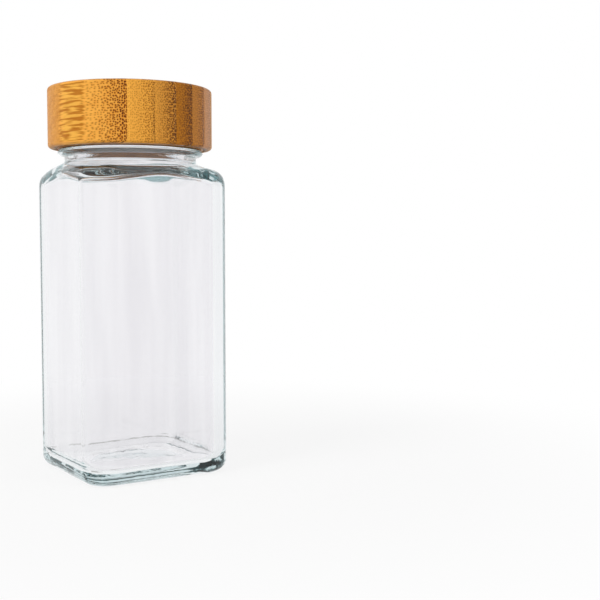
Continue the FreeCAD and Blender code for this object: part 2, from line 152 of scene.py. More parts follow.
# Bamboo strips: how many, the angle that they run at from +X, and the spacing of their fibres
STRIP_COUNT = 8
STRIP_ANGLE = math.radians(22)
CAP_RADIUS = 23 * MM
STRIP_WIDTH = CAP_RADIUS * 2 / STRIP_COUNT
FIBRE_SPACING = 0.62 * MM


# Nodes and meshes

def linear(red, green, blue):
    """Linear colour, with alpha, from 0 to 255 display values."""
    def channel(level):
        level = level / 255
        return level / 12.92 if level <= 0.04045 else ((level + 0.055) / 1.055) ** 2.4
    return channel(red), channel(green), channel(blue), 1.0


def feed(tree, socket, item):
    """Links an output to a socket, or sets the socket's value. None leaves it as it is."""
    if isinstance(item, bpy.types.NodeSocket):
        tree.links.new(item, socket)
    elif item is not None:
        socket.default_value = item


def add_node(tree, kind, **settings):
    """New node with its properties, or its inputs by name, set or linked."""
    node = tree.nodes.new(kind)
    for name, setting in settings.items():
        if hasattr(node, name):
            setattr(node, name, setting)
        else:
            feed(tree, node.inputs[name.replace("_", " ").title()], setting)
    return node


def math_node(tree, operation, first, second=None, clamp=False):
    """Output of a Math node whose inputs are sockets or numbers."""
    node = add_node(tree, "ShaderNodeMath", operation=operation, use_clamp=clamp)
    for socket, item in zip(node.inputs, (first, second)):
        feed(tree, socket, item)
    return node.outputs[0]


def rising(tree, item, gain, start):
    """Output that starts at a number and rises with an item."""
    return math_node(tree, "ADD", math_node(tree, "MULTIPLY", item, gain), start)


def rest_of(tree, item):
    """Output of what an item leaves of 1."""
    return math_node(tree, "SUBTRACT", 1.0, item)


def ramp(tree, factor, low, high):
    """Output that rises smoothly from 0 to 1 between two numbers."""
    node = add_node(tree, "ShaderNodeMapRange", interpolation_type="SMOOTHSTEP", value=factor, from_min=low,
                    from_max=high)
    return node.outputs["Result"]


def mix_colour(tree, factor, first, second):
    """Output of a colour Mix node whose inputs are sockets or values."""
    node = add_node(tree, "ShaderNodeMix", data_type="RGBA")
    # The sockets for colours come after those for numbers and vectors
    for socket, item in zip((node.inputs[0], node.inputs[6], node.inputs[7]), (factor, first, second)):
        feed(tree, socket, item)
    return node.outputs[2]


def parts_of(tree, vector):
    """Outputs with the three parts of a vector."""
    return add_node(tree, "ShaderNodeSeparateXYZ", vector=vector).outputs


def noise(tree, place, scale, detail):
    """Outputs of a noise texture at a place."""
    return add_node(tree, "ShaderNodeTexNoise", vector=place, scale=scale, detail=detail).outputs


def add_bump(tree, shader, height, strength, depth, invert=False):
    """Gives a shader relief from a height."""
    node = add_node(tree, "ShaderNodeBump", strength=strength, distance=depth, invert=invert)
    tree.links.new(height, node.inputs["Height"])
    tree.links.new(node.outputs["Normal"], shader.inputs["Normal"])


def start_material(name):
    """Empty node material and its Principled shader."""
    material = bpy.data.materials.new(name)
    material.use_nodes = True
    tree = material.node_tree
    return material, tree, tree.nodes["Principled BSDF"]


def add_object(name, data):
    """Object in the scene for a mesh, a lamp or a camera."""
    item = bpy.data.objects.new(name, data)
    bpy.context.scene.collection.objects.link(item)
    return item


def make_piece(name, mesh, material, body, node):
    """Adds the object for a finished mesh, which stands for a node and rides on its body."""
    piece = add_object(name, mesh)
    mesh.materials.clear()
    mesh.materials.append(material)
    mesh.polygons.foreach_set("material_index", [0] * len(mesh.polygons))
    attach(piece, body)
    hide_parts(node)


def built_mesh(holder):
    """Mesh of an object as its modifiers leave it. The object is removed."""
    built = holder.evaluated_get(bpy.context.evaluated_depsgraph_get())
    mesh = bpy.data.meshes.new_from_object(built)
    holder.modifiers.clear()
    bpy.data.objects.remove(holder)
    return mesh


def smooth_copy(node):
    """Copy of a node's mesh with its triangles joined, smooth apart from its sharp edges."""
    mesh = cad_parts[node].data.copy()
    work = bmesh.new()
    work.from_mesh(mesh)
    bmesh.ops.remove_doubles(work, verts=work.verts, dist=WELD_DISTANCE)
    work.to_mesh(mesh)
    work.free()
    mesh.shade_smooth()
    mesh.set_sharp_from_angle(angle=SHARP_ANGLE)
    holder = add_object(f"{node}_holder", mesh)
    weighted = holder.modifiers.new("even_normals", "WEIGHTED_NORMAL")
    weighted.keep_sharp = True
    return built_mesh(holder)


def closed_shell(name, rings, first, last):
    """Closed smooth mesh over rings of points, drawn in to a point at each end."""
    work = bmesh.new()
    rows = [[work.verts.new(point) for point in ring] for ring in rings]
    start = work.verts.new(first)
    end = work.verts.new(last)
    count = len(rows[0])
    for number in range(count):
        after = (number + 1) % count
        for lower, upper in zip(rows, rows[1:]):
            work.faces.new((lower[number], lower[after], upper[after], upper[number]))
        work.faces.new((start, rows[0][after], rows[0][number]))
        work.faces.new((end, rows[-1][number], rows[-1][after]))
    mesh = bpy.data.meshes.new(name)
    work.to_mesh(mesh)
    work.free()
    mesh.shade_smooth()
    return mesh


# Shapes grown by node trees

def start_shape(name, *inputs):
    """Node tree for a shape, with its named numbers and its finish as inputs, and its entry."""
    tree = bpy.data.node_groups.new(name, "GeometryNodeTree")
    for label in inputs:
        tree.interface.new_socket(label, in_out="INPUT", socket_type="NodeSocketFloat")
    tree.interface.new_socket("Finish", in_out="INPUT", socket_type="NodeSocketMaterial")
    tree.interface.new_socket("Shape", in_out="OUTPUT", socket_type="NodeSocketGeometry")
    return tree, add_node(tree, "NodeGroupInput").outputs


def end_shape(tree, entry, geometry):
    """Makes the copies in a shape real, gives them their finish and ends the tree."""
    real = add_node(tree, "GeometryNodeRealizeInstances", geometry=geometry)
    coated = add_node(tree, "GeometryNodeSetMaterial", geometry=real.outputs["Geometry"],
                      material=entry["Finish"])
    add_node(tree, "NodeGroupOutput", shape=coated.outputs["Geometry"])


def grown_mesh(tree, finish, **settings):
    """Plain mesh of a shape with its inputs set."""
    holder = add_object(tree.name, bpy.data.meshes.new(tree.name))
    shape = holder.modifiers.new("shape", "NODES")
    shape.node_group = tree
    for socket in tree.interface.items_tree:
        if socket.name == "Finish":
            shape[socket.identifier] = finish
        elif socket.in_out == "INPUT":
            shape[socket.identifier] = float(settings[socket.name.lower().replace(" ", "_")])
    mesh = built_mesh(holder)
    mesh.shade_smooth()
    mesh.set_sharp_from_angle(angle=SHARP_ANGLE)
    return mesh


def upwards(tree, height):
    """Output of a vector that points up by a height."""
    return add_node(tree, "ShaderNodeCombineXYZ", z=height).outputs[0]


def thread_ridges():
    """Shape: right-hand thread ridges inside a bore, one for each start."""
    tree, entry = start_shape("thread_ridges", "Radius", "Depth", "Base Width", "Tip Width", "Lead", "Turns",
                              "Starts", "Height")
    half_depth = math_node(tree, "MULTIPLY", entry["Depth"], 0.5)
    middle = math_node(tree, "SUBTRACT", entry["Radius"], half_depth)
    path = add_node(tree, "GeometryNodeCurveSpiral", resolution=RIDGE_STEPS, reverse=True,
                    start_radius=middle, end_radius=middle, rotations=entry["Turns"])
    tree.links.new(math_node(tree, "MULTIPLY", entry["Lead"], entry["Turns"]), path.inputs["Height"])
    level = add_node(tree, "GeometryNodeSetCurveNormal", mode="Z_UP", curve=path.outputs["Curve"])
    section = add_node(tree, "GeometryNodeCurvePrimitiveQuadrilateral", mode="TRAPEZOID", offset=0.0,
                       bottom_width=entry["Base Width"], top_width=entry["Tip Width"])
    tree.links.new(entry["Depth"], section.inputs["Height"])
    inwards = add_node(tree, "GeometryNodeTransform", rotation=(0, 0, math.pi / 2),
                       geometry=section.outputs["Curve"])
    ridge = add_node(tree, "GeometryNodeCurveToMesh", fill_caps=True, curve=level.outputs["Curve"],
                     profile_curve=inwards.outputs["Geometry"])
    spots = add_node(tree, "GeometryNodePoints", count=entry["Starts"],
                     position=upwards(tree, entry["Height"]))
    number = add_node(tree, "GeometryNodeInputIndex").outputs[0]
    share = math_node(tree, "DIVIDE", number, entry["Starts"])
    turn = upwards(tree, math_node(tree, "MULTIPLY", share, 2 * math.pi))
    copies = add_node(tree, "GeometryNodeInstanceOnPoints", points=spots.outputs[0],
                      instance=ridge.outputs["Mesh"], rotation=turn)
    end_shape(tree, entry, copies.outputs["Instances"])
    return tree


def pressed_disc():
    """Shape: disc with rings pressed into its underside."""
    tree, entry = start_shape("pressed_disc", "Radius", "Thickness", "Base", "Rings", "Ring Depth")
    disc = add_node(tree, "GeometryNodeMeshCylinder", fill_type="TRIANGLE_FAN", vertices=WAD_STEPS,
                    side_segments=1, fill_segments=WAD_CIRCLES, radius=entry["Radius"],
                    depth=entry["Thickness"])
    parts = parts_of(tree, add_node(tree, "GeometryNodeInputPosition").outputs[0])
    squares = [math_node(tree, "POWER", part, 2.0) for part in parts[:2]]
    reach = math_node(tree, "SQRT", math_node(tree, "ADD", *squares))
    turns = math_node(tree, "MULTIPLY", math_node(tree, "DIVIDE", reach, entry["Radius"]), entry["Rings"])
    wave = math_node(tree, "POWER", math_node(tree, "SINE", math_node(tree, "MULTIPLY", turns, math.pi)), 2.0)
    under = math_node(tree, "LESS_THAN", parts[2], 0.0)
    pressed = math_node(tree, "MULTIPLY", math_node(tree, "MULTIPLY", wave, under), entry["Ring Depth"])
    middle = rising(tree, entry["Thickness"], 0.5, entry["Base"])
    moved = add_node(tree, "GeometryNodeSetPosition", geometry=disc.outputs["Mesh"],
                     offset=upwards(tree, math_node(tree, "ADD", middle, pressed)))
    end_shape(tree, entry, moved.outputs["Geometry"])
    return tree


# Glass jar

def square_section(half_side, corner):
    """Points round a rounded square, each with its outward direction."""
    section = []
    centre = half_side - corner
    for quarter in range(4):
        turn = quarter * math.pi / 2
        middle = Vector((math.cos(turn) - math.sin(turn), math.sin(turn) + math.cos(turn), 0)) * centre
        for step in range(CORNER_STEPS + 1):
            angle = turn + step / CORNER_STEPS * math.pi / 2
            outward = Vector((math.cos(angle), math.sin(angle), 0))
            section.append((middle + outward * corner, outward))
        start = section[-1][0]
        along = Vector((-outward.y, outward.x, 0)) * centre * 2
        for number in range(1, FLAT_POINTS + 1):
            share = 0.5 - 0.5 * math.cos(math.pi * number / (FLAT_POINTS + 1))
            section.append((start + along * share, outward))
    return section


def heel_rings(half_side, corner, base, radius, downwards):
    """Rings of the rounding between the sides and a flat bottom."""
    core = square_section(half_side - radius, corner - radius)
    rings = []
    for step in range(ROUND_STEPS + 1):
        angle = step / ROUND_STEPS * math.pi / 2
        up = Vector((0, 0, base + radius - radius * math.cos(angle)))
        rings.append([point + outward * radius * math.sin(angle) + up for point, outward in core])
    return rings[::-1] if downwards else rings


def outer_roof(distance, radius):
    """Height of a ball's centre under the conical shoulder, and the way from there to the glass's outside."""
    height = PEAK - distance * SLOPE - radius / math.cos(SHOULDER_SLOPE)
    return height, Vector((math.sin(SHOULDER_SLOPE), math.cos(SHOULDER_SLOPE)))


def inner_roof(distance, radius):
    """The same under the cavity's roof, which sweeps up into the neck's bore."""
    gap = SWEEP_RADIUS - distance
    reach = BORE_ROUND + radius
    if gap < reach * math.sin(SHOULDER_SLOPE):
        height, way = outer_roof(distance, radius)
        return height - PEAK + INNER_PEAK, way
    rise = math.sqrt(reach ** 2 - gap ** 2)
    return SWEEP_TOP - rise, Vector((gap, rise)) / reach


def shoulder_rings(half_side, corner, radius, roof):
    """Rings of the rounding between the sides and the roof, from the sides up."""
    core = square_section(half_side - radius, corner - radius)
    rings = []
    for step in range(ROUND_STEPS + 1):
        share = step / ROUND_STEPS
        ring = []
        for point, outward in core:
            height, way = roof(point.length, radius)
            uphill = point.normalized() * way.x + Vector((0, 0, way.y))
            facing = outward.slerp(uphill, share)
            ring.append(point + Vector((0, 0, height)) + facing * radius)
        rings.append(ring)
    return rings


def sweep_point(distance, share):
    """(radius, height) part of the way along the cavity's roof from a distance to the neck's bore."""
    level = math.cos(SHOULDER_SLOPE)
    slope_length = max(0, distance - SWEEP_END) / level
    lean = math.acos(max(math.sin(SHOULDER_SLOPE), (SWEEP_RADIUS - distance) / BORE_ROUND))
    travelled = share * (slope_length + lean * BORE_ROUND)
    if travelled < slope_length:
        radius = distance - travelled * level
        return radius, INNER_PEAK - radius * SLOPE
    lean -= (travelled - slope_length) / BORE_ROUND
    return SWEEP_RADIUS - BORE_ROUND * math.cos(lean), SWEEP_TOP - BORE_ROUND * math.sin(lean)


def sweep_rings(edge, directions):
    """Rings from the inner shoulder's rounding up the cavity's roof, short of the neck's bore."""
    rings = []
    for step in range(1, SWEEP_STEPS):
        share = step / SWEEP_STEPS
        ring = []
        for point, direction in zip(edge, directions):
            flat = Vector((point.x, point.y, 0))
            radius, height = sweep_point(flat.length, share)
            way = flat.normalized().slerp(direction, share)
            ring.append(way * radius + Vector((0, 0, height)))
        rings.append(ring)
    return rings


def between(first, last, shares):
    """Rings part of the way from one ring to another."""
    return [[a.lerp(b, share) for a, b in zip(first, last)] for share in shares]


def arc_points(centre, radius, start, end, steps):
    """(radius, height) points on an arc. The angles are in degrees."""
    points = []
    for step in range(steps + 1):
        angle = math.radians(start + (end - start) * step / steps)
        points.append((centre[0] + radius * math.cos(angle), centre[1] + radius * math.sin(angle)))
    return points


def bead_underside(steps):
    """Points on the arc from the neck out to the bead."""
    start = Vector((NECK_RADIUS, BEAD_BASE))
    end = Vector((BEAD_RADIUS, BEAD_TOP - BEAD_EDGE - BEAD_LAND))
    chord = end - start
    reach = math.sqrt(BEAD_LOWER_ARC ** 2 - (chord.length / 2) ** 2)
    centre = (start + end) / 2 + Vector((-chord.y, chord.x)).normalized() * reach
    angles = [math.degrees(math.atan2(*(point - centre).yx)) for point in (start, end)]
    return arc_points(centre, BEAD_LOWER_ARC, *angles, steps)


def neck_profile():
    """(radius, height) points up the outside of the neck as far as the thread."""
    lean = math.degrees(SHOULDER_SLOPE)
    foot = NECK_RADIUS + NECK_FLARE * (1 - math.sin(SHOULDER_SLOPE))
    flare_height = PEAK - foot * SLOPE + NECK_FLARE * math.cos(SHOULDER_SLOPE)
    flare_centre = (NECK_RADIUS + NECK_FLARE, flare_height)
    points = arc_points(flare_centre, NECK_FLARE, 270 - lean, 180, FLARE_STEPS)
    points += bead_underside(BEAD_STEPS)
    edge_centre = (BEAD_RADIUS - BEAD_EDGE, BEAD_TOP - BEAD_EDGE)
    points += arc_points(edge_centre, BEAD_EDGE, 0, 90, BEAD_EDGE_STEPS)
    points.append((NECK_RADIUS + SUPPORT, BEAD_TOP))
    points.append((NECK_RADIUS, BEAD_TOP))
    return points


def mouth_profile():
    """(radius, height) points over the rim and down the bore to the cavity."""
    rim_centre = (NECK_RADIUS - RIM_ROUND, RIM_HEIGHT - RIM_ROUND)
    points = arc_points(rim_centre, RIM_ROUND, 0, 90, RIM_STEPS)
    mouth_centre = (BORE_RADIUS + MOUTH_ROUND, RIM_HEIGHT - MOUTH_ROUND)
    points += arc_points(mouth_centre, MOUTH_ROUND, 90, 180, MOUTH_STEPS)
    points += [(BORE_RADIUS, height) for height in (BEAD_TOP, SWEEP_TOP + SUPPORT, SWEEP_TOP)]
    return points


def thread_height(angle, height):
    """Height of the thread above the neck at an angle and a height, from 0 to 1."""
    best = 0
    for start in range(THREAD_STARTS):
        turn = (angle / (2 * math.pi) - start / THREAD_STARTS) % 1
        if turn > THREAD_TURNS:
            continue
        off = abs(height - THREAD_START - turn * THREAD_LEAD)
        flank = (THREAD_BASE_WIDTH / 2 - off) / (THREAD_BASE_WIDTH - THREAD_TIP_WIDTH) * 2
        runout = min(turn, THREAD_TURNS - turn) / THREAD_RUNOUT
        level = max(0, min(1, flank)) * min(1, runout)
        best = max(best, level * level * (3 - 2 * level))
    return best


def thread_rings(directions):
    """Rings of the threaded stretch of the neck."""
    low, high = BEAD_TOP + THREAD_STEP, RIM_HEIGHT - RIM_ROUND - THREAD_STEP
    count = round((high - low) / THREAD_STEP)
    rings = []
    for number in range(count + 1):
        height = low + (high - low) * number / count
        ring = []
        for direction in directions:
            angle = math.atan2(direction.y, direction.x)
            radius = NECK_RADIUS + THREAD_DEPTH * thread_height(angle, height)
            ring.append(direction * radius + Vector((0, 0, height)))
        rings.append(ring)
    return rings


def glass_rings():
    """Rings from the middle of the base, up the outside, over the rim and down the inside to the floor."""
    shoulder = shoulder_rings(HALF_SIDE, CORNER_RADIUS, SHOULDER_ROUND, outer_roof)
    directions = [Vector((point.x, point.y, 0)).normalized() for point in shoulder[-1]]

    def turned(profile):
        """Rings of a round profile."""
        return [[way * radius + Vector((0, 0, height)) for way in directions] for radius, height in profile]

    ball = (PUNT_RADIUS ** 2 + PUNT_DEPTH ** 2) / (2 * PUNT_DEPTH)
    punt = []
    for share in PUNT_SHARES:
        radius = PUNT_RADIUS * share
        punt.append((radius, PUNT_DEPTH - ball + math.sqrt(ball ** 2 - radius ** 2)))
    rings = turned(punt)
    heel = heel_rings(HALF_SIDE, CORNER_RADIUS, 0, HEEL_RADIUS, downwards=False)
    rings += between(rings[-1], heel[0], FOOT_SHARES) + heel
    rings += between(heel[-1], shoulder[0], SIDE_SHARES) + shoulder
    neck = turned(neck_profile())
    rings += between(shoulder[-1], neck[0], SLOPE_SHARES) + neck
    rings += thread_rings(directions)
    mouth = turned(mouth_profile())
    inner_half = HALF_SIDE - BODY_WALL
    inner_shoulder = shoulder_rings(inner_half, INNER_CORNER_RADIUS, INNER_SHOULDER_ROUND, inner_roof)
    inner_heel = heel_rings(
        inner_half, INNER_CORNER_RADIUS, FLOOR_THICKNESS, INNER_HEEL_RADIUS, downwards=True)
    rings += mouth + sweep_rings(inner_shoulder[-1], directions)[::-1] + inner_shoulder[::-1]
    rings += between(inner_shoulder[0], inner_heel[0], SIDE_SHARES) + inner_heel
    middle = [Vector((0, 0, FLOOR_THICKNESS))] * len(directions)
    rings += between(inner_heel[-1], middle, FLOOR_SHARES)
    return rings


def glass_mesh():
    """Closed shell of the jar."""
    mesh = closed_shell("jar_glass", glass_rings(), (0, 0, PUNT_DEPTH), (0, 0, FLOOR_THICKNESS))
    mesh.set_sharp_from_angle(angle=GLASS_SHARP_ANGLE)
    return mesh


# Tints of a clear and of a grey streak, and where the streaks' noise changes from one to the other
CLEAR_TINT = (0.976, 0.962, 0.974, 1)
GREY_TINT = (0.925, 0.909, 0.926, 1)
STREAK_EDGES = (0.38, 0.62)
# Scale and detail of the noise behind the streaks, the waves, the ripples of the base and the smears
STREAK_NOISE = (150.0, 2.0)
WAVE_NOISE = (110.0, 1.0)
RIPPLE_NOISE = (330.0, 2.0)
SMEAR_NOISE = (60.0, 3.0)
# Streaks and waves are drawn out upwards
UPRIGHT_SCALE = (1, 1, 0.1)
# Ripples: height against the waves, and the heights between which they fade out. Then the relief of both
RIPPLE_GAIN = 3.0
RIPPLE_HEIGHTS = (3 * MM, 14 * MM)
RELIEF_STRENGTH = 0.05
RELIEF_DEPTH = 0.6 * MM
# Where the noise of the smears starts to show and is full, and their haze
SMEAR_EDGES = (0.5, 0.8)
SMEAR_HAZE = 0.02
# Refraction, and the green that thick glass takes on
GLASS_IOR = 1.5
THICK_TINT = (0.62, 0.76, 0.77, 1)
THICK_DENSITY = 30
# Painted shade: a fine dark line round the inside, just above the floor, where the glass shows a dark edge:
# tint, height, how much that wanders, half widths, and where its noise brings it in
SHADE_LINE_TINT = (0.26, 0.26, 0.24, 1)
SHADE_LINE_HEIGHT = 4.3 * MM
SHADE_LINE_WANDER = 0.5 * MM
SHADE_LINE_WIDTHS = (0.06 * MM, 0.26 * MM)
SHADE_LINE_EDGES = (0.3, 0.6)


def painted_shade_line(tree, parts, wander):
    """Mask of the painted shade line round the inside of the jar, stronger in some places than in others."""
    across = math_node(tree, "MAXIMUM", *(math_node(tree, "ABSOLUTE", part) for part in parts[:2]))
    inside = math_node(tree, "LESS_THAN", across, HALF_SIDE - BODY_WALL / 2)
    middle = rising(tree, wander, SHADE_LINE_WANDER, SHADE_LINE_HEIGHT)
    off = math_node(tree, "ABSOLUTE", math_node(tree, "SUBTRACT", parts[2], middle))
    line = rest_of(tree, ramp(tree, off, *SHADE_LINE_WIDTHS))
    strength = ramp(tree, wander, *SHADE_LINE_EDGES)
    return math_node(tree, "MULTIPLY", math_node(tree, "MULTIPLY", line, inside), strength)


def clear_glass():
    """Clear moulded glass: a faint grey tint, green in its thick edges, with slow upright waves."""
    material, tree, shader = start_material("clear_glass")
    shader.inputs["Transmission Weight"].default_value = 1
    shader.inputs["IOR"].default_value = GLASS_IOR
    place = add_node(tree, "ShaderNodeTexCoord").outputs["Object"]
    stretch = add_node(tree, "ShaderNodeMapping", vector=place)
    stretch.inputs["Scale"].default_value = UPRIGHT_SCALE
    upright = stretch.outputs["Vector"]
    streaks = noise(tree, upright, *STREAK_NOISE)["Fac"]
    waves = noise(tree, upright, *WAVE_NOISE)["Fac"]
    ripples = noise(tree, place, *RIPPLE_NOISE)["Fac"]
    smears = noise(tree, place, *SMEAR_NOISE)["Fac"]
    parts = parts_of(tree, place)
    tint = mix_colour(tree, ramp(tree, streaks, *STREAK_EDGES), CLEAR_TINT, GREY_TINT)
    # The tint darkens along a painted shade line just above the inner floor
    tint = mix_colour(tree, painted_shade_line(tree, parts, ripples), tint, SHADE_LINE_TINT)
    tree.links.new(tint, shader.inputs["Base Color"])
    near_base = rest_of(tree, ramp(tree, parts[2], *RIPPLE_HEIGHTS))
    rippled = math_node(tree, "MULTIPLY", math_node(tree, "MULTIPLY", ripples, near_base), RIPPLE_GAIN)
    add_bump(tree, shader, math_node(tree, "ADD", waves, rippled), RELIEF_STRENGTH, RELIEF_DEPTH)
    haze = math_node(tree, "MULTIPLY", ramp(tree, smears, *SMEAR_EDGES), SMEAR_HAZE)
    tree.links.new(haze, shader.inputs["Roughness"])
    absorb = add_node(tree, "ShaderNodeVolumeAbsorption", density=THICK_DENSITY)
    absorb.inputs["Color"].default_value = THICK_TINT
    tree.links.new(absorb.outputs["Volume"], tree.nodes["Material Output"].inputs["Volume"])
    return material


# Bamboo cap

# How fast the fibres' pattern changes across a strip, up it and along it, how uneven the dots' places are,
# and how soft the edges of a dot and of the light flesh between dots are
FIBRE_STRETCH = (1.75, 1.0, 0.06)
FIBRE_DISORDER = 0.7
FIBRE_SOFTNESS = 0.12
LIGHT_SOFTNESS = 0.3
# Least size of a dot against the usual one, and how much chance can add
DOT_LEAST = 0.8
DOT_CHANCE = 0.4
# Scale and detail of the noise that sways the dots, mottles the flesh and makes the dashes
SWAY_NOISE = (0.35, 1.0)
MOTTLE_NOISE = (0.55, 3.0)
DASH_NOISE = (1.0, 1.5)
# How far the dots sway across a strip and up it, in steps of their pattern
SWAY_REACH = (0.5, 0.8, 0)
# Length and height of the dashes that fibres make where they lie along the turned side, and where the noise
# changes from light to dark ones
DASH_SIZE = (6 * MM, 0.75 * MM)
DASH_EDGES = (0.4, 0.6)
# How far back along a strip its plain far end starts and is full, and how far its ragged edge comes forward
FAR_END = (6 * MM, 8.5 * MM)
RAGGED_END = 7 * MM


def bamboo_fibres():
    """Group: fibre ends as dots that crowd towards one edge of a strip, light flesh, streaks and dashes.

    Place is in the strip's own directions: along it, across it and up.
    """
    tree = bpy.data.node_groups.new("bamboo_fibres", "ShaderNodeTree")
    face = tree.interface
    face.new_socket("Place", in_out="INPUT", socket_type="NodeSocketVector")
    for name in ("Spacing", "Thin", "Thick", "Low Edge", "High Edge"):
        face.new_socket(name, in_out="INPUT", socket_type="NodeSocketFloat")
    for name in ("Dots", "Lights", "Crowding", "Streaks", "Dashes", "Far End"):
        face.new_socket(name, in_out="OUTPUT", socket_type="NodeSocketFloat")
    entry = add_node(tree, "NodeGroupInput").outputs
    parts = parts_of(tree, entry["Place"])
    scale = math_node(tree, "DIVIDE", 1.0, entry["Spacing"])
    cells = add_node(tree, "ShaderNodeCombineXYZ")
    for socket, part, stretch in zip(cells.inputs, (1, 2, 0), FIBRE_STRETCH):
        size = math_node(tree, "MULTIPLY", scale, stretch)
        tree.links.new(math_node(tree, "MULTIPLY", parts[part], size), socket)
    pattern = cells.outputs[0]
    sway = noise(tree, pattern, *SWAY_NOISE)["Color"]
    swayed = add_node(tree, "ShaderNodeVectorMath", operation="MULTIPLY_ADD")
    for socket, item in zip(swayed.inputs, (sway, SWAY_REACH, pattern)):
        feed(tree, socket, item)
    dots = add_node(tree, "ShaderNodeTexVoronoi", voronoi_dimensions="2D", vector=swayed.outputs[0],
                    scale=1.0, randomness=FIBRE_DISORDER)
    crowding = ramp(tree, parts[1], entry["Low Edge"], entry["High Edge"])
    usual = add_node(tree, "ShaderNodeMapRange", value=crowding, to_min=entry["Thin"], to_max=entry["Thick"])
    chance = add_node(tree, "ShaderNodeSeparateColor")
    tree.links.new(dots.outputs["Color"], chance.inputs[0])
    uneven = rising(tree, chance.outputs[0], DOT_CHANCE, DOT_LEAST)
    radius = math_node(tree, "MULTIPLY", usual.outputs["Result"], uneven)
    inside = math_node(tree, "SUBTRACT", radius, dots.outputs["Distance"])
    outside = math_node(tree, "SUBTRACT", dots.outputs["Distance"], radius)
    lens = add_node(tree, "ShaderNodeCombineXYZ")
    for socket, part, size in zip(lens.inputs, (0, 2), DASH_SIZE):
        tree.links.new(math_node(tree, "DIVIDE", parts[part], size), socket)
    dashes = noise(tree, lens.outputs[0], *DASH_NOISE)["Fac"]
    ragged = math_node(tree, "MULTIPLY", dashes, RAGGED_END)
    add_node(
        tree, "NodeGroupOutput",
        dots=math_node(tree, "DIVIDE", inside, FIBRE_SOFTNESS, clamp=True),
        lights=math_node(tree, "DIVIDE", outside, LIGHT_SOFTNESS, clamp=True),
        crowding=crowding,
        streaks=noise(tree, pattern, *MOTTLE_NOISE)["Fac"],
        dashes=ramp(tree, dashes, *DASH_EDGES),
        far_end=ramp(tree, math_node(tree, "SUBTRACT", ragged, parts[0]), *FAR_END))
    return tree


FIBRES = bamboo_fibres()
# Colour of the sanded top, where the fibres lie along the surface
TOP_FLESH = (214, 172, 134)
TOP_SHADE = (190, 142, 104)
# Light and dark dashes where the turned side runs along the fibres
DASH_LIGHT = (240, 178, 72)
DASH_DARK = (176, 104, 10)
# Flesh and shade of a plain far end
END_FLESH = (214, 146, 58)
END_SHADE = (194, 126, 42)
# Where the mottle's noise turns to shade, and how much shade the mottle and the crowded edge bring
MOTTLE_EDGES = (0.35, 0.7)
MOTTLE_SHADE = 0.4
CROWDED_SHADE = 0.6
# Light flesh between dots: gain and lift over the strip's flesh, and how much of it shows
PALE_GAIN = 1.08
PALE_LIFT = 6
PALE_SHARE = 0.55
# How dark sparse dots are, how much darker crowded ones are, and what is left of that on the top
SPARSE_DARK = 0.36
CROWDED_DARK = 0.62
TOP_DARK = 0.3
# How far the side faces across the strip where dashes start and are full, how this frays, and their share
DASH_FACING = (0.975, 0.992)
DASH_FRAY = 0.014
DASH_SHARE = 0.9
# How far the surface faces up where the top's colour starts and is full
TOP_FACING = (0.55, 0.95)
# Gloss of the oiled surface, its roughness, how much rougher a dot is, and how deep
BAMBOO_GLOSS = 0.22
FLESH_ROUGHNESS = 0.42
DOT_ROUGHNESS = 0.2
DOT_STRENGTH = 0.25
DOT_DEPTH = 0.1 * MM


